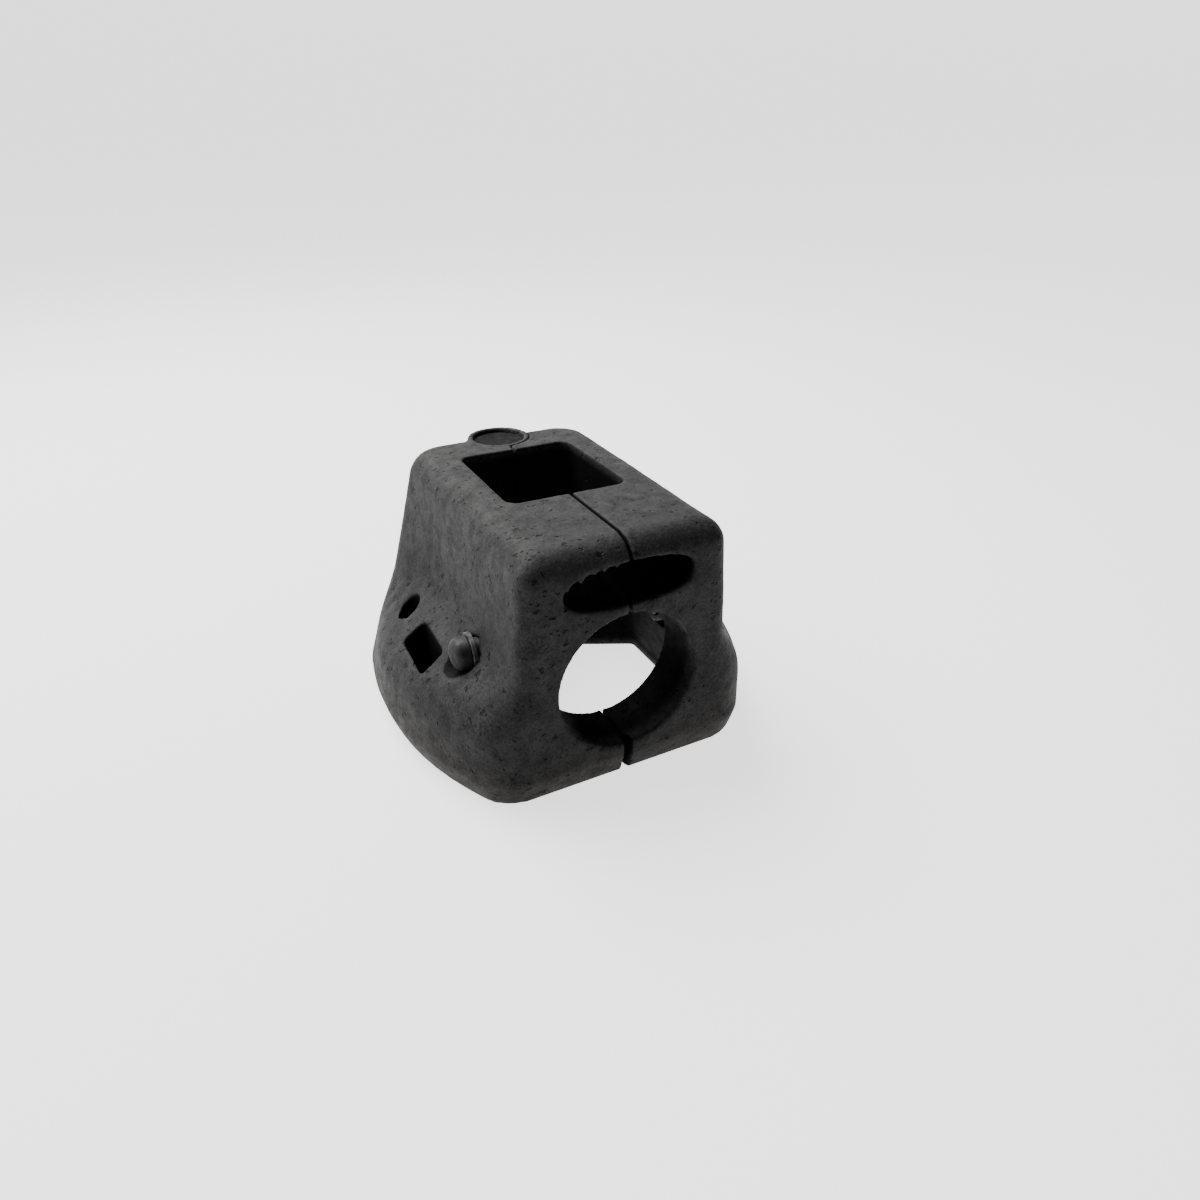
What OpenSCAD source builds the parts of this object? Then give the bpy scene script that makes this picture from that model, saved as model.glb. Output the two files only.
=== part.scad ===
// Two-part rubber mounting block: a square post enters from above, a round
// tube enters from the front, and the halves swing apart on a rear pin.
// Millimetres. Origin at the middle of the footprint on the floor:
// +X to the right seen from the front, +Y towards the back, +Z up.

/* [Block] */
// Height of the block
block_h = 106.5; // [90:0.5:130]
// Half width of the upper body where the foot begins
body_x = 46; // [38:0.5:50]
// Half width of the upper body under its top edge
body_top_x = 43.9; // [38:0.1:50]
// Widening of each side wall from the front face to the rear face
body_taper = 2; // [0:0.1:3]
// Depth from the front face to the rear face
body_y = 140; // [115:1:145]
// Rounding of the top edges
top_r = 10.5; // [3:0.5:12]
// Rounding of the upright edges at the front
edge_front_r = 7; // [5.5:0.5:16]
// Rounding of the upright edges at the back
edge_back_r = 15; // [5.5:0.5:20]

/* [Foot] */
// Half width of the foot
foot_x = 80.5; // [60:0.5:90]
// Height where the concave fillet of the foot leaves the side wall
flare_z = 69; // [50:1:80]
// Radius of the concave fillet
flare_r = 21; // [6:1:30]
// Slope of the shoulder in degrees below level
flare_slope = 35; // [20:1:60]
// Radius of the shoulder's outer edge
shoulder_r = 17; // [8:1:24]
// Corner radius of the foot at the front
foot_front_r = 21; // [12:1:30]
// Corner radius of the foot at the back
foot_back_r = 27; // [12:1:40]
// Half width of the foot at the front face
foot_front_x = 54.5; // [46:0.5:60]
// Half width of the foot at the back
foot_back_x = 71; // [50:0.5:80]
// Distance of the foot's widest place from the front face
foot_wide_y = 80; // [60:1:100]
// Height where the rear flank starts to spread
rear_z = 102; // [80:1:106]
// Distance from the front face where the rear flank takes over
rear_y = 80; // [60:1:100]
// Height of the band round the bottom edge
band_z = 11; // [4:0.5:14]
// Draw-in of the band at the floor
band_in = 3.5; // [0:0.5:6]

/* [Tube bore] */
// Radius of the tube bore
bore_r = 30; // [20:0.5:32]
// Height of the bore's axis
bore_z = 46.5; // [40:0.5:60]
// Thickness of the front wall
front_wall = 25; // [15:0.5:30]

/* [Post socket] */
// Width of the square socket
socket_x = 53; // [40:0.5:60]
// Depth of the square socket
socket_y = 59; // [40:0.5:70]
// Distance from the front face to the socket
socket_front = 52; // [40:0.5:60]
// Corner radius of the socket
socket_r = 5; // [1:0.5:10]

/* [Front slot] */
// Length of the slot
slot_l = 55; // [40:1:60]
// Height of the slot
slot_h = 17; // [10:0.5:20]
// Height of the slot's middle
slot_z = 89.7; // [84:0.1:94]

/* [Hinge] */
// Distance of the hinge axis from the front face
hinge_y = 131.5; // [120:0.5:135]
// Outer radius of the knuckles
knuckle_r = 14.5; // [12:0.5:16]
// Clearance round the knuckles
knuckle_gap = 0.4; // [0.3:0.05:1]
// Radius of the hinge pin
pin_r = 6; // [4:0.5:7]
// Wall of the bushes
bush_t = 2.5; // [1.5:0.25:3]
// Radial running clearance
run_gap = 0.05; // [0.02:0.01:0.08]
// Top of the lower knuckle
knuckle_z1 = 36; // [30:1:44]
// Foot of the upper knuckle
knuckle_z2 = 72.5; // [60:0.5:80]

/* [Seam] */
// Half gap between the halves at the back
seam = 0.2; // [0.15:0.05:0.5]
// Half width of the groove along the seam at the top front
seam_front = 0.5; // [0.3:0.1:1]
// Half width of the groove along the seam below the bore
seam_low = 1.5; // [0.5:0.1:2.5]

/* [Foot holes] */
// Length of the strap slot
strap_l = 26; // [20:0.5:32]
// Width of the strap slot
strap_w = 10; // [6:0.5:12]
// Sideways position of the strap slot
strap_x = 63.6; // [60:0.1:68]
// Position of the strap slot behind the front face
strap_y = 64.5; // [60:0.5:80]
// Radius of the rear foot hole
foot_hole_r = 5; // [2.5:0.5:6]
// Sideways position of the rear foot hole
foot_hole_x = 60.5; // [58:0.5:66]
// Position of the rear foot hole behind the front face
foot_hole_y = 94.5; // [90:0.5:108]

/* [Flank bolt] */
// Shank radius
bolt_r = 5; // [4:0.5:6]
// Head radius
bolt_head_r = 6.8; // [6:0.1:12]
// Height of the bolt's axis
bolt_z = 53; // [44:0.5:54]
// Position of the bolt behind the front face
bolt_y = 39.5; // [36:0.5:50]
// Pocket radius
pocket_r = 8.4; // [7:0.1:13.5]
// Sideways position of the pocket's floor
pocket_x = 50; // [46:0.5:52]

/* [Hidden] */
$fn = 96;
past = 1;                                 // how far a cutter runs past a face
y0 = (hinge_y + knuckle_r) / 2;           // front face to the middle of the footprint
socket_back = socket_front + socket_y;
chamber_x = 50;                           // half width of the chamber at the floor
chamber_mid_x = 35;                       // half width at the height of the bore
chamber_back = 97.5;
cut_front_y = front_wall + 1;             // planes that divide each moulded half
cut_back_y = 83;
cut_foot_x = 47;
bush_r = pin_r + run_gap + bush_t;
fit_gap = 0.02;                           // round pressed or threaded pieces
washer_gap = 0.25;
head_r = 11.8;                            // head of the hinge pin
head_t = 2.6;
head_z = block_h - 4.4;
head_gap = 0.3;
pin_nut_z = 2.5;
pin_nut_h = 8.5;
pin_nut_r = 10.4;                         // across the corners, halved
pin_washer_r = 11.5;
washer_t = 2;
pin_washer_z = pin_nut_z + pin_nut_h;
pin_recess_r = 12;
bolt_head_h = 7.5;
bolt_len = 20;
bolt_chamfer = 0.7;
bolt_washer_r = 7.9;
plate_x = 41;                             // inner end of the rubber under the flank bolt
plate_r = 11;
plate_gap = 0.5;
bolt_nut_h = 8;
bolt_nut_r = 9.2;
rubber = [0.1, 0.1, 0.105];
steel = [0.62, 0.62, 0.63];
dull = [0.3, 0.3, 0.31];

// places what is drawn from the front face onto the shared origin
module place() { translate([0, -y0, 0]) children(); }

// profile in X and Z, swept along Y
module along_y(a, b) {
  translate([0, b, 0]) rotate([90, 0, 0]) linear_extrude(b - a) children();
}

// rectangle with round corners
module round_rect(x1, y1, x2, y2, r) {
  translate([x1 + r, y1]) square([x2 - x1 - 2 * r, y2 - y1]);
  translate([x1, y1 + r]) square([x2 - x1, y2 - y1 - 2 * r]);
  for (x = [x1 + r, x2 - r]) for (y = [y1 + r, y2 - r]) translate([x, y]) circle(r);
}

// side of the block from the floor up, as [reach sideways, height, draw-in]:
// floor band, round shoulder, slope, concave fillet, wall, round top edge
fillet_end = 270 - flare_slope;
fillet_x = body_x + flare_r;
slope_top = [fillet_x + flare_r * cos(fillet_end), flare_z + flare_r * sin(fillet_end)];
shoulder_x = foot_x - 1.5 - shoulder_r * cos(6);
slope_run = shoulder_x + shoulder_r * sin(flare_slope) - slope_top[0];
shoulder_z = slope_top[1] - slope_run * tan(flare_slope) - shoulder_r * cos(flare_slope);
wall_h = block_h - top_r - flare_z;
levels = concat(
  [[foot_x, 0, band_in], [foot_x, band_z * 0.6, band_in * 0.35], [foot_x, band_z, 0]],
  [for (i = [0:7]) let (a = 6 + i * (84 - flare_slope) / 7)
    [shoulder_x + shoulder_r * cos(a), shoulder_z + shoulder_r * sin(a), 0]],
  [for (i = [0:6]) let (a = fillet_end - i * (fillet_end - 180) / 6)
    [fillet_x + flare_r * cos(a), flare_z + flare_r * sin(a), 0]],
  [for (i = [1:3]) [body_x + (body_top_x - body_x) * i / 4, flare_z + wall_h * i / 4, 0]],
  [for (i = [0:6]) let (a = i * 15) [body_top_x, block_h - top_r * (1 - sin(a)), top_r * (1 - cos(a))]]);

// half width of the floor outline at a distance y from the front face
function foot_w(y) = foot_x - (y < foot_wide_y
  ? (foot_x - foot_front_x) * pow(1 - y / foot_wide_y, 2)
  : (foot_x - foot_back_x) * pow((y - foot_wide_y) / (body_y - foot_wide_y), 2));

// share of the rear flank's gentler profile at y, and that profile
function rear_share(y) = let (k = min(1, max(0, (y - rear_y) / (body_y - rear_y)))) k * k * (3 - 2 * k);
function rear_reach(l) = min(l[0], body_x)
  + (foot_x - body_x) * pow(min(1, max(0, (rear_z - l[1]) / (rear_z - band_z))), 1.3);
function reach(l, y) =
  let (p = l[0] + (rear_reach(l) - l[0]) * rear_share(y), k = max(0, p - body_x) / (foot_x - body_x))
  min(p, body_x) + k * (foot_w(y) - body_x) + (1 - k) * body_taper * (y / body_y - 0.5);

// half outline of one level, from the seam round the front corner to the back;
// each corner's arc runs into the flank without a kink
function outline(l) =
  let (d = l[2], t = max(0, l[0] - body_x) / (foot_x - body_x),
       rf = edge_front_r + (foot_front_r - edge_front_r) * t - 0.8 * min(d, 6),
       rb = edge_back_r + (foot_back_r - edge_back_r) * t - 0.8 * min(d, 6),
       af = max(0, atan(reach(l, rf + d) - reach(l, rf + d - 1))),
       ab = max(0, atan(reach(l, body_y - d - rb) - reach(l, body_y - d - rb + 1))),
       y1 = d + rf * (1 - sin(af)), y2 = body_y - d - rb * (1 - sin(ab)),
       x1 = reach(l, y1) - d - rf * cos(af), x2 = reach(l, y2) - d - rb * cos(ab))
  concat([[seam, d]],
    [for (i = [0:7]) let (a = -90 + i * (90 - af) / 7) [x1 + rf * cos(a), d + rf + rf * sin(a)]],
    [for (i = [1:11]) let (y = y1 + (y2 - y1) * i / 12) [reach(l, y) - d, y]],
    [for (i = [0:7]) let (a = ab + i * (90 - ab) / 7) [x2 + rb * cos(a), body_y - d - rb + rb * sin(a)]],
    [[seam, body_y - d]]);

n = 29; // points in an outline
m = len(levels) - 1;

// right half of the block before it is hollowed
module solid_half() {
  polyhedron(
    points = [for (l = levels) for (p = outline(l)) [p[0], p[1], l[1]]],
    faces = concat(
      [[for (j = [0:n - 1]) j], [for (j = [0:n - 1]) m * n + n - 1 - j]],
      [for (i = [0:m - 1]) for (j = [0:n - 1]) let (k = (j + 1) % n) [i * n + j, (i + 1) * n + j, i * n + k]],
      [for (i = [0:m - 1]) for (j = [0:n - 1]) let (k = (j + 1) % n) [i * n + k, (i + 1) * n + j, (i + 1) * n + k]]));
}

// hollow behind the front wall, open underneath, narrower towards its roof
module chamber() {
  roof = bore_z + bore_r;
  intersection() {
    along_y(0, body_y) for (s = [0, 1]) mirror([s, 0])
      polygon([[-past, -past], [chamber_x, -past], [chamber_x, 6], [chamber_mid_x, bore_z],
               [bore_r, roof], [-past, roof]]);
    translate([0, 0, -past]) linear_extrude(block_h) for (s = [0, 1]) mirror([s, 0])
      polygon([[-past, front_wall], [chamber_x - 4, front_wall], [chamber_x, front_wall + 5],
               [chamber_x, chamber_back - 11.5], [socket_x / 2, chamber_back], [-past, chamber_back]]);
  }
}

// slot in the front face: a flat oval
module front_slot() {
  translate([0, slot_z]) polygon([for (i = [0:39]) let (a = i * 9, c = cos(a), s = sin(a))
    [sign(c) * slot_l / 2 * pow(abs(c), 0.8), sign(s) * slot_h / 2 * pow(abs(s), 0.8)]]);
}

// something turned, drawn along the flank bolt's axis from x = 0 outwards
module on_flank(s, x) {
  translate([s * x, bolt_y, bolt_z]) rotate([0, s * 90, 0]) children();
}

// everything cut out of both halves
module hollows() {
  chamber();
  translate([0, 0, -past]) linear_extrude(block_h + 2 * past)
    round_rect(-socket_x / 2, socket_front, socket_x / 2, socket_back, socket_r);
  along_y(-past, front_wall + past) translate([0, bore_z]) circle(bore_r, $fn = 180);
  along_y(-past, socket_front + socket_r + past) front_slot();
  for (s = [-1, 1]) {
    translate([s * strap_x, strap_y, -past]) linear_extrude(flare_z)
      round_rect(-strap_w / 2, -strap_l / 2, strap_w / 2, strap_l / 2, 1.2);
    translate([s * foot_hole_x, foot_hole_y, -past]) cylinder(r = foot_hole_r, h = flare_z);
    on_flank(s, pocket_x) cylinder(r = pocket_r, h = foot_x - pocket_x);
    on_flank(s, plate_x) cylinder(r = bolt_r + 2 * run_gap, h = pocket_x);
    on_flank(s, plate_x / 2) cylinder(r = plate_r + plate_gap, h = plate_x / 2 + washer_t);
  }
}

// open groove along the seam at the front and on top, s = -1 for the left half:
// [half width, depth from the front face, bottom, top]
module seam_groove(s) {
  for (g = [[seam_front, 4, bore_z + 20, block_h + past],
            [seam_front, socket_front + past, block_h - 4, block_h + past],
            [seam_low, 5, -past, bore_z - 20]])
    translate([s > 0 ? 0 : -g[0], -past, g[2]]) cube([g[0], g[1] + past, g[3] - g[2]]);
}

// solid round bar on the hinge axis
module on_hinge(r, z1, z2) {
  translate([0, hinge_y, z1]) cylinder(r = r, h = z2 - z1);
}

module left_moulding() {
  difference() {
    union() {
      difference() {
        mirror([1, 0, 0]) solid_half();
        on_hinge(knuckle_r + knuckle_gap, knuckle_z1, knuckle_z2);
      }
      on_hinge(knuckle_r, 0, knuckle_z1);
      on_hinge(knuckle_r, knuckle_z2, block_h);
    }
    hollows();
    on_hinge(bush_r + fit_gap, -past, block_h + past);
    on_hinge(head_r + head_gap, head_z, block_h + past);
    on_hinge(pin_recess_r, -past, pin_washer_z + washer_t);
    seam_groove(-1);
  }
}

module right_moulding() {
  difference() {
    union() {
      difference() {
        solid_half();
        on_hinge(knuckle_r + knuckle_gap, -past, knuckle_z1 + knuckle_gap);
        on_hinge(knuckle_r + knuckle_gap, knuckle_z2 - knuckle_gap, block_h + past);
      }
      on_hinge(knuckle_r, knuckle_z1 + knuckle_gap, knuckle_z2 - knuckle_gap);
    }
    hollows();
    on_hinge(bush_r + fit_gap, knuckle_z1, knuckle_z2);
    seam_groove(1);
  }
}

// Each half is one moulding. It is drawn as four blocks that meet on flat
// planes clear of every opening's faces, s = -1 for the left half.
module block(x1, x2, y1, y2) {
  translate([x1, y1, -past]) cube([x2 - x1, y2 - y1, block_h + 2 * past]);
}

module front_block() { block(-foot_x - past, foot_x + past, -past, cut_front_y); }
module side_block() { block(-foot_x - past, foot_x + past, cut_front_y, cut_back_y); }
module back_block() { block(-cut_foot_x, cut_foot_x, cut_back_y, body_y + knuckle_r); }
module foot_block(s) {
  block(s > 0 ? cut_foot_x : -foot_x - past, s > 0 ? foot_x + past : -cut_foot_x, cut_back_y, body_y + past);
}

module left_shell_front() { color(rubber) place() intersection() { left_moulding(); front_block(); } }
module left_shell_side() { color(rubber) place() intersection() { left_moulding(); side_block(); } }
module left_shell_foot() { color(rubber) place() intersection() { left_moulding(); foot_block(-1); } }
module left_shell_back() { color(rubber) place() intersection() { left_moulding(); back_block(); } }
module right_shell_front() { color(rubber) place() intersection() { right_moulding(); front_block(); } }
module right_shell_side() { color(rubber) place() intersection() { right_moulding(); side_block(); } }
module right_shell_foot() { color(rubber) place() intersection() { right_moulding(); foot_block(1); } }
module right_shell_back() { color(rubber) place() intersection() { right_moulding(); back_block(); } }

module hinge_pin() {
  color(steel) place() translate([0, hinge_y, 0]) rotate_extrude()
    polygon([[0, 1], [pin_r - 0.8, 1], [pin_r, 1.8], [pin_r, head_z], [head_r, head_z],
             [head_r, head_z + head_t - 0.6], [head_r - 0.6, head_z + head_t], [0, head_z + head_t]]);
}

module hinge_pin_washer() {
  color(steel) place() difference() {
    on_hinge(pin_washer_r, pin_washer_z, pin_washer_z + washer_t);
    on_hinge(pin_r + washer_gap, 0, pin_washer_z + 2 * washer_t);
  }
}

module hinge_pin_nut() {
  color(steel) place() difference() {
    translate([0, hinge_y, pin_nut_z]) cylinder(r = pin_nut_r, h = pin_nut_h, $fn = 6);
    on_hinge(pin_r + fit_gap, 0, pin_nut_z + 2 * pin_nut_h);
  }
}

module bush(z1, z2) {
  difference() {
    on_hinge(bush_r, z1, z2);
    on_hinge(pin_r + run_gap, z1 - past, z2 + past);
  }
}

module left_upper_bush() { color(dull) place() bush(knuckle_z2, head_z); }
module left_lower_bush() { color(dull) place() bush(pin_washer_z + washer_t, knuckle_z1); }
module right_bush() { color(dull) place() bush(knuckle_z1 + knuckle_gap, knuckle_z2 - knuckle_gap); }

// flank bolt with its washer in the pocket, s = -1 on the left
module flank_bolt(s) {
  dome = bolt_head_h / 2;
  color(steel) place() on_flank(s, pocket_x + washer_t) rotate_extrude()
    polygon(concat([[0, -bolt_len], [bolt_r - bolt_chamfer, -bolt_len], [bolt_r, bolt_chamfer - bolt_len],
                    [bolt_r, 0], [bolt_head_r, 0]],
      [for (i = [0:7]) let (a = i * 90 / 8) [bolt_head_r * cos(a), dome + dome * sin(a)]], [[0, bolt_head_h]]));
}

module flank_washer(s) {
  color(steel) place() on_flank(s, pocket_x) difference() {
    cylinder(r = bolt_washer_r, h = washer_t);
    translate([0, 0, -past]) cylinder(r = bolt_r + washer_gap, h = 2 * washer_t);
  }
}

// plate and nut inside the chamber, at the inner end of the bolt
module flank_plate(s) {
  color(steel) place() on_flank(s, plate_x) difference() {
    cylinder(r = plate_r, h = washer_t);
    translate([0, 0, -past]) cylinder(r = bolt_r + washer_gap, h = 2 * washer_t);
  }
}

module flank_nut(s) {
  color(steel) place() on_flank(s, plate_x - bolt_nut_h) difference() {
    cylinder(r = bolt_nut_r, h = bolt_nut_h, $fn = 6);
    translate([0, 0, -past]) cylinder(r = bolt_r + fit_gap, h = 2 * bolt_nut_h);
  }
}

module left_bolt() { flank_bolt(-1); }
module left_bolt_washer() { flank_washer(-1); }
module left_bolt_plate() { flank_plate(-1); }
module left_bolt_nut() { flank_nut(-1); }
module right_bolt() { flank_bolt(1); }
module right_bolt_washer() { flank_washer(1); }
module right_bolt_plate() { flank_plate(1); }
module right_bolt_nut() { flank_nut(1); }

left_shell_front();
left_shell_side();
left_shell_foot();
left_shell_back();
right_shell_front();
right_shell_side();
right_shell_foot();
right_shell_back();
hinge_pin();
hinge_pin_washer();
hinge_pin_nut();
left_upper_bush();
left_lower_bush();
right_bush();
left_bolt();
left_bolt_washer();
left_bolt_plate();
left_bolt_nut();
right_bolt();
right_bolt_washer();
right_bolt_plate();
right_bolt_nut();
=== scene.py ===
import math

import bmesh
import bpy
from mathutils import Matrix, Vector
from mathutils.noise import noise as unevenAt


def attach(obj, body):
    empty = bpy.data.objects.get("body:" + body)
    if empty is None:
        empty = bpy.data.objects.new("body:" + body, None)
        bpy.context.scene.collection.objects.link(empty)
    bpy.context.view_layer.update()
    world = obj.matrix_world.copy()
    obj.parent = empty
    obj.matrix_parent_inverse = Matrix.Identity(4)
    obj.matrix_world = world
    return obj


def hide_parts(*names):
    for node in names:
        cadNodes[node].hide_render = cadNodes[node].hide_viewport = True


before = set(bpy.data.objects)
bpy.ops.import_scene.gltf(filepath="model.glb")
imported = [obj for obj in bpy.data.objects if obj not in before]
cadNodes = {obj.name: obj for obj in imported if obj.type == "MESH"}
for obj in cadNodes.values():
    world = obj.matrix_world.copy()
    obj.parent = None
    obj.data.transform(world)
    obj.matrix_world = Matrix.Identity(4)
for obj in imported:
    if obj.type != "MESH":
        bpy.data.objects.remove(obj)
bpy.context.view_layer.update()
millimetre = 0.001
print("stage: frame loaded")

cameraSettings = {
    "place": (-0.1312, -0.3007, 0.2315),
    "turn": -27.36,  # degrees round from straight ahead
    "tilt": 29.51,  # degrees looking down
    "lens": 24.65,
}

stageSettings = {
    "halfWidth": 14.0,
    "front": -12.0,
    "back": 3.6,
    "height": 7.0,
    "bend": 1.2,
    "glow": 1.85,
    "tone": 0.3,
    "air": 0.03,
}

lampSettings = [  # name, place, size, power, tint
    ("topLamp", (-0.25, 0.55, 1.05), 0.8, 52.0, (1.0, 0.99, 0.97)),
    ("leftLamp", (-0.95, 0.30, 0.95), 0.5, 13.0, (0.97, 0.98, 1.0)),
    ("rightLamp", (0.95, -0.35, 0.35), 0.5, 0.15, (1.0, 0.98, 0.95)),
]


def makeCamera(settings):
    turn, tilt = math.radians(settings["turn"]), math.radians(settings["tilt"])
    back = Vector((math.sin(turn) * math.cos(tilt), -math.cos(turn) * math.cos(tilt), math.sin(tilt)))
    data = bpy.data.cameras.new("camera")
    data.lens = settings["lens"]
    data.sensor_width = 36.0
    data.clip_start = 0.01
    camera = bpy.data.objects.new("camera", data)
    camera.rotation_euler = (-back).to_track_quat("-Z", "Y").to_euler()
    camera.location = settings["place"]
    bpy.context.collection.objects.link(camera)
    bpy.context.scene.camera = camera


def makeLamps(lamps, air):
    target = Vector((0, 0, 0.05))
    for name, place, size, power, tint in lamps:
        data = bpy.data.lights.new(name, "AREA")
        data.shape = "DISK"
        data.size = size
        data.energy = power
        data.color = tint
        lamp = bpy.data.objects.new(name, data)
        lamp.location = place
        lamp.rotation_euler = (target - Vector(place)).to_track_quat("-Z", "Y").to_euler()
        bpy.context.collection.objects.link(lamp)
    world = bpy.data.worlds.new("studioAir")
    world.use_nodes = True
    world.node_tree.nodes["Background"].inputs["Color"].default_value = (1, 1, 1, 1)
    world.node_tree.nodes["Background"].inputs["Strength"].default_value = air
    bpy.context.scene.world = world


def newMaterial(name):
    material = bpy.data.materials.new(name)
    material.use_nodes = True
    return material, material.node_tree, material.node_tree.nodes["Principled BSDF"]


def finishMesh(bm, name, smooth=True):
    mesh = bpy.data.meshes.new(name)
    bm.to_mesh(mesh)
    bm.free()
    for face in mesh.polygons:
        face.use_smooth = smooth
    piece = bpy.data.objects.new(name, mesh)
    bpy.context.collection.objects.link(piece)
    return piece


def makeStage(settings):
    bm = bmesh.new()
    line = [bm.verts.new((-settings["halfWidth"], y, z)) for y, z in (
        (settings["front"], 0), (settings["back"], 0), (settings["back"], settings["height"]))]
    for pair in zip(line, line[1:]):
        bm.edges.new(pair)
    bmesh.ops.bevel(bm, geom=[line[1]], offset=settings["bend"], affect="VERTICES",
                    segments=16, profile=0.5, material=-1)
    swept = bmesh.ops.extrude_edge_only(bm, edges=bm.edges[:])
    bmesh.ops.translate(bm, vec=(2 * settings["halfWidth"], 0, 0),
                        verts=[v for v in swept["geom"] if isinstance(v, bmesh.types.BMVert)])
    bmesh.ops.recalc_face_normals(bm, faces=bm.faces[:])
    floor = finishMesh(bm, "floorSweep")
    material, _, shader = newMaterial("paleFloor")
    shader.inputs["Base Color"].default_value = (settings["tone"], settings["tone"], settings["tone"], 1)
    shader.inputs["Roughness"].default_value = 0.9
    shader.inputs["Specular IOR Level"].default_value = 0.1
    shader.inputs["Emission Color"].default_value = (1, 1, 1, 1)
    shader.inputs["Emission Strength"].default_value = settings["glow"]
    floor.data.materials.append(material)


makeCamera(cameraSettings)
makeLamps(lampSettings, stageSettings["air"])
makeStage(stageSettings)
print("stage: camera, floor and lamps")


def ramp(tree, source, stops):
    node = tree.nodes.new("ShaderNodeValToRGB")
    elements = node.color_ramp.elements
    while len(elements) < len(stops):
        elements.new(0.5)
    for element, (place, level) in zip(elements, stops):
        element.position = place
        element.color = (level, level, level, 1)
    tree.links.new(source, node.inputs["Fac"])
    return node.outputs["Color"]


def cloud(tree, coords, scale, detail=4.0, rough=0.55):
    node = tree.nodes.new("ShaderNodeTexNoise")
    node.inputs["Scale"].default_value = scale
    node.inputs["Detail"].default_value = detail
    node.inputs["Roughness"].default_value = rough
    tree.links.new(coords, node.inputs["Vector"])
    return node


def blend(tree, kind, amount, first, second):
    node = tree.nodes.new("ShaderNodeMix")
    node.data_type = "RGBA"
    node.blend_type = kind
    for socket, value in ((node.inputs[0], amount), (node.inputs[6], first), (node.inputs[7], second)):
        if isinstance(value, float):
            socket.default_value = value
        elif isinstance(value, tuple):
            socket.default_value = (*value, 1)
        else:
            tree.links.new(value, socket)
    return node.outputs[2]


def spots(tree, coords, scale, inner, outer, share):  # round marks in a share of the cells, 0 to 1
    cells = tree.nodes.new("ShaderNodeTexVoronoi")
    cells.inputs["Scale"].default_value = scale
    tree.links.new(coords, cells.inputs["Vector"])
    mark = ramp(tree, cells.outputs["Distance"], [(inner, 1.0), (outer, 0.0)])
    parts = tree.nodes.new("ShaderNodeSeparateColor")
    tree.links.new(cells.outputs["Color"], parts.inputs["Color"])
    chosen = ramp(tree, parts.outputs["Red"], [(1 - share - 0.02, 0.0), (1 - share + 0.02, 1.0)])
    return blend(tree, "MULTIPLY", 1.0, mark, chosen)


def bump(tree, height, strength, distance, under=None, sunken=False):
    node = tree.nodes.new("ShaderNodeBump")
    node.invert = sunken
    node.inputs["Strength"].default_value = strength
    node.inputs["Distance"].default_value = distance
    tree.links.new(height, node.inputs["Height"])
    if under:
        tree.links.new(under, node.inputs["Normal"])
    return node.outputs["Normal"]


rubberLook = {
    "deep": (0.0087, 0.0087, 0.009),
    "pale": (0.0208, 0.0208, 0.0211),
    "poreTone": (0.001, 0.001, 0.001),
    "earth": (0.021, 0.018, 0.0155),
    "roughness": 0.60,
    "broad": 34.0,  # sizes of the patterns, as repeats in a metre
    "mottle": 170.0,
    "grain": 1100.0,
    "ragged": 420.0,
    "pores": 200.0,
    "finePores": 430.0,
    "crumbs": 55.0,
    "crumbMarks": 900.0,
    "pull": 0.004,
    "earthBand": (0.006, 0.030),
}


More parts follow.
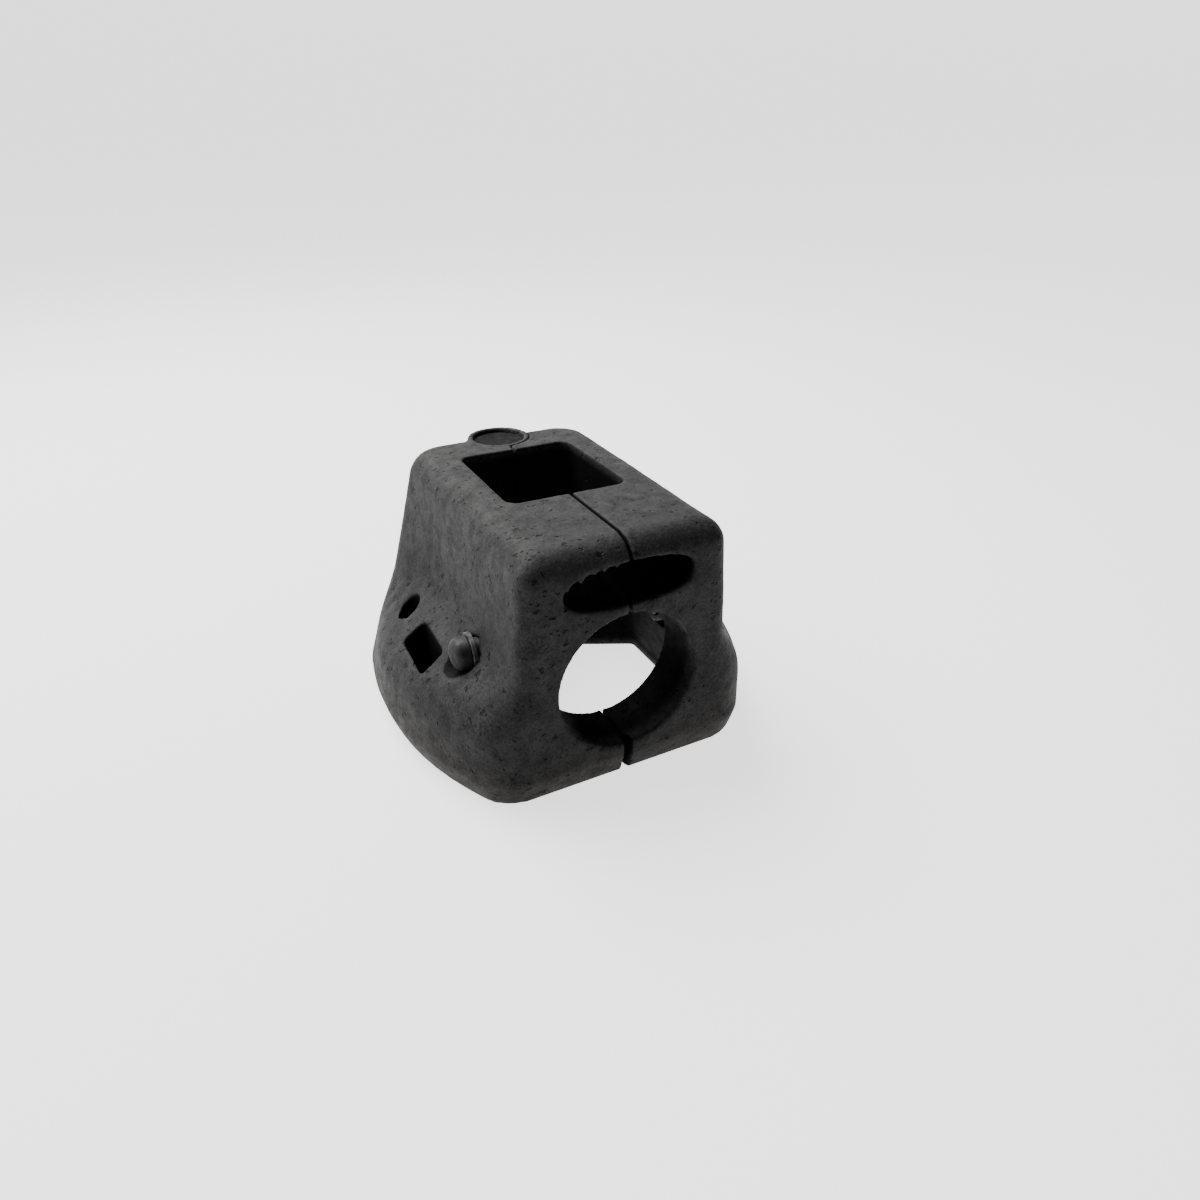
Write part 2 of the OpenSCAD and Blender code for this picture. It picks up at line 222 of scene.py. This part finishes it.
def makeRubber(look):
    material, tree, shader = newMaterial("mouldedRubber")
    coords = tree.nodes.new("ShaderNodeTexCoord").outputs["Object"]
    ragged = tree.nodes.new("ShaderNodeVectorMath")  # pulls round pores out of shape
    ragged.operation = "MULTIPLY_ADD"
    ragged.inputs[1].default_value = (look["pull"], look["pull"], look["pull"])
    tree.links.new(cloud(tree, coords, look["ragged"], 2.0).outputs["Color"], ragged.inputs[0])
    tree.links.new(coords, ragged.inputs[2])
    broad = cloud(tree, coords, look["broad"], 3.0).outputs["Fac"]
    mottle = cloud(tree, coords, look["mottle"], 5.0, 0.7).outputs["Fac"]
    grain = cloud(tree, coords, look["grain"], 5.0, 0.75).outputs["Fac"]
    base = blend(tree, "MIX", ramp(tree, broad, [(0.30, 0.45), (0.70, 1.0)]), look["deep"], look["pale"])
    parts = tree.nodes.new("ShaderNodeSeparateXYZ")
    tree.links.new(coords, parts.inputs["Vector"])
    bandFull, bandEnd = look["earthBand"]
    low = blend(tree, "MULTIPLY", 1.0, ramp(tree, parts.outputs["Z"], [(bandFull, 1.0), (bandEnd, 0.0)]),
                ramp(tree, mottle, [(0.4, 0.2), (0.62, 1.0)]))
    base = blend(tree, "MIX", low, base, look["earth"])
    base = blend(tree, "MULTIPLY", 0.6, base, ramp(tree, mottle, [(0.36, 0.35), (0.58, 1.0)]))
    base = blend(tree, "MULTIPLY", 0.9, base, ramp(tree, grain, [(0.40, 0.25), (0.58, 1.0)]))
    crumbArea = spots(tree, coords, look["crumbs"], 0.2, 0.3, 0.7)
    crumbNoise = cloud(tree, coords, look["crumbMarks"], 2.0, 0.6).outputs["Fac"]
    crumbMark = ramp(tree, crumbNoise, [(0.44, 1.0), (0.5, 0.0)])
    crumb = blend(tree, "MULTIPLY", 1.0, crumbArea, crumbMark)
    base = blend(tree, "MIX", ramp(tree, crumb, [(0.0, 0.0), (1.0, 0.85)]), base, look["poreTone"])
    ragCoords = ragged.outputs["Vector"]
    pore = blend(tree, "LIGHTEN", 1.0, spots(tree, ragCoords, look["pores"], 0.15, 0.27, 0.2),
                 spots(tree, ragCoords, look["finePores"], 0.18, 0.34, 0.22))
    base = blend(tree, "MIX", pore, base, look["poreTone"])
    # painted shade: the per-vertex shade attribute darkens the colour down to 0.12 and lowers the specular in
    # openings, grooves and holes
    attribute = tree.nodes.new("ShaderNodeAttribute")
    attribute.attribute_name = "paintedShade"
    paintedShade = attribute.outputs["Fac"]
    base = blend(tree, "MULTIPLY", 1.0, base, ramp(tree, paintedShade, [(0.0, 1.0), (1.0, 0.12)]))
    tree.links.new(base, shader.inputs["Base Color"])
    tree.links.new(ramp(tree, mottle, [(0.3, look["roughness"] + 0.16), (0.7, look["roughness"] - 0.04)]),
                   shader.inputs["Roughness"])
    tree.links.new(ramp(tree, paintedShade, [(0.0, 0.1), (1.0, 0.02)]), shader.inputs["Specular IOR Level"])
    normal = bump(tree, mottle, 0.5, 0.0007)
    normal = bump(tree, grain, 0.5, 0.0003, normal)
    normal = bump(tree, crumb, 0.5, 0.0003, normal, True)
    tree.links.new(bump(tree, pore, 0.9, 0.0009, normal, True), shader.inputs["Normal"])
    return material


steelLooks = {
    "dullZinc": {"tone": (0.008, 0.008, 0.0082), "dirt": (0.002, 0.002, 0.002),
                 "metallic": 0.2, "roughness": 0.5, "specular": 0.25},
    "washerZinc": {"tone": (0.055, 0.055, 0.056), "dirt": (0.015, 0.015, 0.015),
                   "metallic": 0.5, "roughness": 0.42, "specular": 0.25},
    "pinZinc": {"tone": (0.0105, 0.0105, 0.0107), "dirt": (0.006, 0.006, 0.006),
                "metallic": 0.0, "roughness": 0.85, "specular": 0.05},
    "bushSteel": {"tone": (0.32, 0.32, 0.33), "dirt": (0.12, 0.12, 0.12),
                  "metallic": 0.8, "roughness": 0.36, "specular": 0.25},
}


def makeSteel(name, look):
    material, tree, shader = newMaterial(name)
    coords = tree.nodes.new("ShaderNodeTexCoord").outputs["Object"]
    patch = cloud(tree, coords, 260.0, 5.0, 0.65).outputs["Fac"]
    fine = cloud(tree, coords, 1600.0, 4.0, 0.7).outputs["Fac"]
    base = blend(tree, "MIX", ramp(tree, patch, [(0.40, 0.0), (0.62, 1.0)]), look["dirt"], look["tone"])
    base = blend(tree, "MULTIPLY", 0.5, base, ramp(tree, fine, [(0.35, 0.4), (0.65, 1.0)]))
    tree.links.new(base, shader.inputs["Base Color"])
    shader.inputs["Metallic"].default_value = look["metallic"]
    shader.inputs["Specular IOR Level"].default_value = look["specular"]
    shine = ramp(tree, patch, [(0.35, look["roughness"] + 0.25), (0.7, look["roughness"])])
    tree.links.new(shine, shader.inputs["Roughness"])
    tree.links.new(bump(tree, fine, 0.4, 0.00012, bump(tree, patch, 0.4, 0.0003)), shader.inputs["Normal"])
    return material


rubber = makeRubber(rubberLook)
steels = {name: makeSteel(name, look) for name, look in steelLooks.items()}
print("stage: finishes")

shellSettings = {
    "voxel": 0.95 * millimetre,
    "smoothRounds": 3,
    "unevenness": 0.2 * millimetre,
    "broadWave": 16 * millimetre,
    "fineWave": 5 * millimetre,
    "calmSeam": 6 * millimetre,
    "calmHinge": 24 * millimetre,
    "flash": 1.5 * millimetre,
    "flashWave": 2.4 * millimetre,
    "blocks": ("front", "side", "foot", "back"),
    "cutsY": (26.0, 83.0),
    "cutX": 47.0,
}

blockPlan = {  # the block's own measures in millimetres, from its front face
    "frontY": -73.0,
    "hingeY": 58.5,
    "height": 106.5,
    "boreZ": 46.5,
    "boreR": 30.0,
    "wall": 25.0,
    "knuckleR": 14.7,
    "seam": 0.8,
    "grooveDepth": 5.5,
    "lowGroove": 1.2,
    "socket": (26.5, 52.0, 111.0),
    "slot": (27.5, 8.5, 89.7),
    "chamber": (50.0, 97.5),
    "chamberLean": 15.0,
    "strap": (63.6, 64.5, 5.0, 13.0),
    "footHole": (60.5, 94.5, 5.0),
    "pocket": (39.5, 53.0, 8.4),
}


def step(low, high, value):
    share = min(1.0, max(0.0, (value - low) / (high - low)))
    return share * share * (3 - 2 * share)


def paintedShadeAt(point, normal, plan):  # painted shade amount: 0 on open faces, 1 well inside an opening, where shade falls
    x, y, z = abs(point.x) / millimetre, point.y / millimetre - plan["frontY"], point.z / millimetre
    socketX, socketFront, socketBack = plan["socket"]
    slotX, slotZ, slotMiddle = plan["slot"]
    chamberX, chamberBack = plan["chamber"]
    strapX, strapY, strapHalfX, strapHalfY = plan["strap"]
    holeX, holeY, holeR = plan["footHole"]
    deep = plan["grooveDepth"]
    groove = (y < socketFront and z > plan["height"] - deep) or y < deep
    # painted shade on the faces inside the seam groove between the halves
    if groove and x < plan["seam"] + (plan["lowGroove"] if z < plan["boreZ"] else 0) and abs(normal.x) > 0.4:
        return 0.9
    # painted shade deep in the socket, the slot, the bore and the chamber
    if x < socketX + 1 and socketFront - 1 < y < socketBack + 1:
        return step(0.5, 5, plan["height"] - z)
    if x < slotX + 1 and abs(z - slotMiddle) < slotZ + 1 and y < socketFront:
        return step(0.5, 4, y)
    if math.hypot(x, z - plan["boreZ"]) < plan["boreR"] + 1 and y < plan["wall"] + 1:
        return step(1, 9, y)
    roofShare = min(1.0, max(0.0, (z - 6) / (plan["boreZ"] - 6)))
    inReach = x < chamberX + 1 - plan["chamberLean"] * roofShare and z < plan["boreZ"] + plan["boreR"] + 1
    if plan["wall"] - 1 < y < chamberBack + 1 and inReach:
        return step(0.5, 5, z)
    # painted shade in the pocket round the flank bolt
    pocketY, pocketZ, pocketR = plan["pocket"]
    if x > chamberX - 1 and math.hypot(y - pocketY, z - pocketZ) < pocketR + 0.4:
        return 0.85
    # painted shade on the walls of the strap window and the foot hole
    inStrap = abs(x - strapX) < strapHalfX + 1 and abs(y - strapY) < strapHalfY + 1
    inHole = math.hypot(x - holeX, y - holeY) < holeR + 1
    if inStrap or inHole:
        return step(0.55, 0.2, abs(normal.z)) if abs(normal.z) < 0.55 else 0.0
    return 0.0


def flashAt(point, settings, plan):  # ragged moulding flash along the slot's upper left edge
    slotX, slotZ, slotMiddle = plan["slot"]
    x, y, z = point.x / millimetre, point.y / millimetre - plan["frontY"], point.z / millimetre - slotMiddle
    if y > 4 or z < 0 or x > 0 or abs(x) > slotX + 1:
        return 0.0
    reach = math.hypot(abs(x / slotX) ** 1.25, abs(z / slotZ) ** 1.25)
    rough = 0.25 + max(0.0, unevenAt(point / settings["flashWave"])) * 2
    return rough * step(0.8, 0.97, reach) * step(1.35, 1.05, reach) * step(4, 0.5, y) * step(0, 10, -x)


def onCut(face, settings, plan):  # faces where the blocks of one moulding meet
    places = [(abs(vert.co.x) / millimetre, vert.co.y / millimetre - plan["frontY"]) for vert in face.verts]
    for cut in settings["cutsY"]:
        if all(abs(y - cut) < 1e-3 for _, y in places):
            return True
    return all(abs(x - settings["cutX"]) < 1e-3 and y > settings["cutsY"][-1] - 1e-3 for x, y in places)


def atCrispSeam(point, plan):  # under the tube at the back of the front wall, and round the hinge on top
    x, y, z = abs(point.x) / millimetre, point.y / millimetre - plan["frontY"], point.z / millimetre
    besideSeam, wall = 1.6, plan["wall"]
    if x < besideSeam and wall - 12 < y < wall + 2 and z < plan["boreZ"] - plan["boreR"] + 2:
        return True
    fromPin = math.hypot(x, point.y / millimetre - plan["hingeY"])
    atSeam = x < besideSeam and y > plan["socket"][2] - 1 and fromPin > plan["knuckleR"]
    return z > plan["height"] - 12 and (atSeam or abs(fromPin - plan["knuckleR"]) < besideSeam)


def makeShell(side, settings, plan):
    blocks = [side + "_shell_" + part for part in settings["blocks"]]
    bm = bmesh.new()
    for node in blocks:
        bm.from_mesh(cadNodes[node].data)
    cuts = [face for face in bm.faces if onCut(face, settings, plan)]
    bmesh.ops.delete(bm, geom=cuts, context="FACES")
    bmesh.ops.remove_doubles(bm, verts=bm.verts[:], dist=2e-6)
    bmesh.ops.recalc_face_normals(bm, faces=bm.faces[:])
    openEdges = sum(1 for edge in bm.edges if len(edge.link_faces) != 2)
    rough = finishMesh(bm, side + "Rough")
    remesh = rough.modifiers.new("skin", "REMESH")
    remesh.mode = "VOXEL"
    remesh.voxel_size = settings["voxel"]
    evaluated = rough.evaluated_get(bpy.context.evaluated_depsgraph_get())
    bm = bmesh.new()
    bm.from_mesh(evaluated.to_mesh())
    evaluated.to_mesh_clear()
    bpy.data.objects.remove(rough)
    everyWay = {"use_axis_x": True, "use_axis_y": True, "use_axis_z": True}
    soft = [vert for vert in bm.verts if not atCrispSeam(vert.co, plan)]
    for _ in range(settings["smoothRounds"]):
        bmesh.ops.smooth_vert(bm, verts=soft, factor=0.5, **everyWay)
    crisp = [vert for vert in bm.verts if atCrispSeam(vert.co, plan)]
    bmesh.ops.smooth_vert(bm, verts=crisp, factor=0.4, **everyWay)
    bm.normal_update()
    hinge = Vector((0, plan["hingeY"] * millimetre))
    # painted shade amount per vertex, stored below as an attribute for the rubber colour; the same amount also
    # calms the unevenness inside openings
    depth = []
    for vert in bm.verts:
        inside = paintedShadeAt(vert.co, vert.normal, plan)
        depth.append(inside)
        calm = step(settings["calmSeam"] / 2, settings["calmSeam"], abs(vert.co.x)) * (1 - inside)
        calm *= step(settings["calmHinge"] * 0.8, settings["calmHinge"], (vert.co.xy - hinge).length)
        calm *= step(0.5 * millimetre, 4 * millimetre, vert.co.z)
        wave = unevenAt(vert.co / settings["broadWave"]) + 0.5 * unevenAt(vert.co / settings["fineWave"])
        vert.co += vert.normal * settings["unevenness"] * calm * wave
        vert.co.z -= settings["flash"] * flashAt(vert.co, settings, plan)
    shell = finishMesh(bm, side + "Rubber")
    shell.data.attributes.new("paintedShade", "FLOAT", "POINT").data.foreach_set("value", depth)
    shell.data.materials.append(rubber)
    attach(shell, side + "_half")
    for node in blocks:
        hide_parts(node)
    print("piece:", shell.name, len(shell.data.polygons), "faces, open edges before the skin:", openEdges)


makeShell("left", shellSettings, blockPlan)
makeShell("right", shellSettings, blockPlan)
print("stage: rubber halves")


def turnedPiece(name, profile, place, material, closed=False, cut=None, segments=96):
    # the profile is (radius, height); cut(angle, height) limits the radius all round
    bm = bmesh.new()
    line = [bm.verts.new((radius, 0, height)) for radius, height in profile]
    for pair in list(zip(line, line[1:])) + ([(line[-1], line[0])] if closed else []):
        bm.edges.new(pair)
    bmesh.ops.spin(bm, geom=bm.verts[:] + bm.edges[:], cent=(0, 0, 0), axis=(0, 0, 1), dvec=(0, 0, 0),
                   angle=2 * math.pi, steps=segments, use_merge=True, use_duplicate=False)
    bmesh.ops.remove_doubles(bm, verts=bm.verts[:], dist=1e-4)
    for vert in bm.verts:
        reach = vert.co.xy.length
        if cut and reach > 0.1:
            limit = cut(math.atan2(vert.co.y, vert.co.x), vert.co.z)
            vert.co.xy *= min(1.0, limit / reach)
    bmesh.ops.transform(bm, matrix=Matrix.Scale(millimetre, 4) @ place, verts=bm.verts[:])
    bmesh.ops.recalc_face_normals(bm, faces=bm.faces[:])
    piece = finishMesh(bm, name)
    piece.data.set_sharp_from_angle(angle=math.radians(24))
    piece.data.materials.append(material)
    return piece


def evenly(low, high, count):
    return [low + (high - low) * part / count for part in range(count + 1)]


def threadCut(radius, low, high, pitch, depth):  # a ridge that winds round between two heights
    def limit(angle, height):
        if not low <= height <= high:
            return math.inf
        turn = (height / pitch - angle / (2 * math.pi)) % 1
        fade = min(1.0, (height - low) / pitch, (high - height) / pitch)
        return radius - depth * fade * abs(2 * turn - 1)
    return limit


def hexagonCut(flat):
    def limit(angle, _):
        return flat / math.cos(math.radians(math.degrees(angle) % 60 - 30))
    return limit


def nutProfile(corner, height, bore):
    flat = 0.95 * corner * math.cos(math.radians(30))
    rise = (corner - flat) / 1.73
    edge = [(flat + (corner - flat) * part / 5, rise * part / 5) for part in range(6)]
    far = [(radius, height - level) for radius, level in reversed(edge)]
    return [(bore, 0.8), (bore + 0.8, 0)] + edge + far + [(bore + 0.8, height), (bore, height - 0.8)]


def washerProfile(bore, outer, thick, edge=0.3):
    return [(bore, edge), (bore + edge, 0), (outer - edge, 0), (outer, edge),
            (outer, thick - edge), (outer - edge, thick), (bore + edge, thick), (bore, thick - edge)]


def domeProfile(radius, rim, height, count=10):
    turns = evenly(0, math.pi / 2, count)[:-1]
    return [(radius * math.cos(turn), rim + (height - rim) * math.sin(turn)) for turn in turns] + [(0, height)]


hingeSettings = {
    "pinR": 6.0, "pinLow": 1.0, "threadTop": 12.0, "headZ": 102.1, "headR": 11.8, "headH": 2.6,
    "nutZ": 2.5, "nutH": 8.5, "nutR": 10.4, "washerZ": 11.0, "washerR": 11.5, "washerH": 2.0, "pitch": 1.75,
    "threadSteps": 48, "threadDepth": 0.7,
}

flankSettings = {
    "y": 39.5, "z": 53.0, "boltR": 5.0, "boltLength": 20.0, "headR": 6.8, "headH": 7.5,
    "pocketX": 50.0, "washerR": 7.9, "washerH": 2.0, "plateX": 41.0, "plateR": 11.0,
    "nutR": 9.2, "nutH": 8.0, "threadLength": 12.0, "pitch": 1.5, "threadSteps": 60,
    "threadDepth": 0.6,
    "nodes": {"Bolt": "_bolt", "BoltWasher": "_bolt_washer",
              "BoltPlate": "_bolt_plate", "BoltNut": "_bolt_nut"},
}


def finishSteel(piece, node, body):
    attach(piece, body)
    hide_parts(node)


def makeHinge(settings, plan):
    base = Matrix.Translation((0, plan["hingeY"], 0))
    low, headZ, headR, headH = settings["pinLow"], settings["headZ"], settings["headR"], settings["headH"]
    pinR, pitch, threadLow, threadTop = settings["pinR"], settings["pitch"], low + 0.9, settings["threadTop"]
    top = headZ + headH
    profile = [(0, low), (pinR - 0.8, low), (pinR, low + 0.8)]
    profile += [(pinR, height) for height in evenly(threadLow, threadTop, settings["threadSteps"])]
    profile += [(pinR, threadTop + 0.2), (pinR, headZ), (headR - 0.3, headZ), (headR, headZ + 0.3),
                (headR, top - 0.7), (headR - 0.25, top - 0.2), (headR - 0.8, top),
                (headR - 1.6, top - 0.05), (headR - 2.6, top - 0.3), (0, top - 0.35)]
    pin = turnedPiece("hingePin", profile, base, steels["pinZinc"],
                      cut=threadCut(pinR, threadLow, threadTop, pitch, settings["threadDepth"]))
    finishSteel(pin, "hinge_pin", "left_half")
    nut = turnedPiece("hingeNut", nutProfile(settings["nutR"], settings["nutH"], pinR + 0.02),
                      base @ Matrix.Translation((0, 0, settings["nutZ"])), steels["dullZinc"], True,
                      hexagonCut(settings["nutR"] * math.cos(math.radians(30))))
    finishSteel(nut, "hinge_pin_nut", "left_half")
    washer = turnedPiece("hingeWasher", washerProfile(pinR + 0.25, settings["washerR"], settings["washerH"]),
                         base @ Matrix.Translation((0, 0, settings["washerZ"])), steels["dullZinc"], True)
    finishSteel(washer, "hinge_pin_washer", "left_half")


def makeFlankBolt(side, settings, plan):
    sign = -1 if side == "left" else 1
    axis = Matrix.Translation((0, settings["y"] + plan["frontY"], settings["z"])) @ Matrix.Rotation(
        math.radians(90 * sign), 4, "Y")
    boltR, length, headR = settings["boltR"], settings["boltLength"], settings["headR"]
    washerH, nutH = settings["washerH"], settings["nutH"]
    threadLow, threadTop = 0.8 - length, settings["threadLength"] - length

    def turned(part, profile, distance, closed=True, cut=None):
        place = axis @ Matrix.Translation((0, 0, distance))
        steel = steels["washerZinc" if part == "BoltWasher" else "dullZinc"]
        piece = turnedPiece(side + part, profile, place, steel, closed, cut)
        finishSteel(piece, side + settings["nodes"][part], side + "_half")
    profile = [(0, -length), (boltR - 0.7, -length), (boltR, 0.7 - length)]
    profile += [(boltR, height) for height in evenly(threadLow, threadTop, settings["threadSteps"])]
    profile += [(boltR, threadTop + 0.2), (boltR, 0), (headR - 0.4, 0), (headR, 0.4)]
    profile += domeProfile(headR, settings["headH"] / 2, settings["headH"])
    turned("Bolt", profile, settings["pocketX"] + washerH, False,
           threadCut(boltR, threadLow, threadTop, settings["pitch"], settings["threadDepth"]))
    turned("BoltWasher", washerProfile(boltR + 0.25, settings["washerR"], washerH), settings["pocketX"])
    turned("BoltPlate", washerProfile(boltR + 0.25, settings["plateR"], washerH), settings["plateX"])
    turned("BoltNut", nutProfile(settings["nutR"], nutH, boltR + 0.02), settings["plateX"] - nutH, True,
           hexagonCut(settings["nutR"] * math.cos(math.radians(30))))


makeHinge(hingeSettings, blockPlan)
makeFlankBolt("left", flankSettings, blockPlan)
makeFlankBolt("right", flankSettings, blockPlan)
for node in ("left_upper_bush", "left_lower_bush", "right_bush"):
    cadNodes[node].data.materials.clear()
    cadNodes[node].data.materials.append(steels["bushSteel"])
print("stage: steel parts")
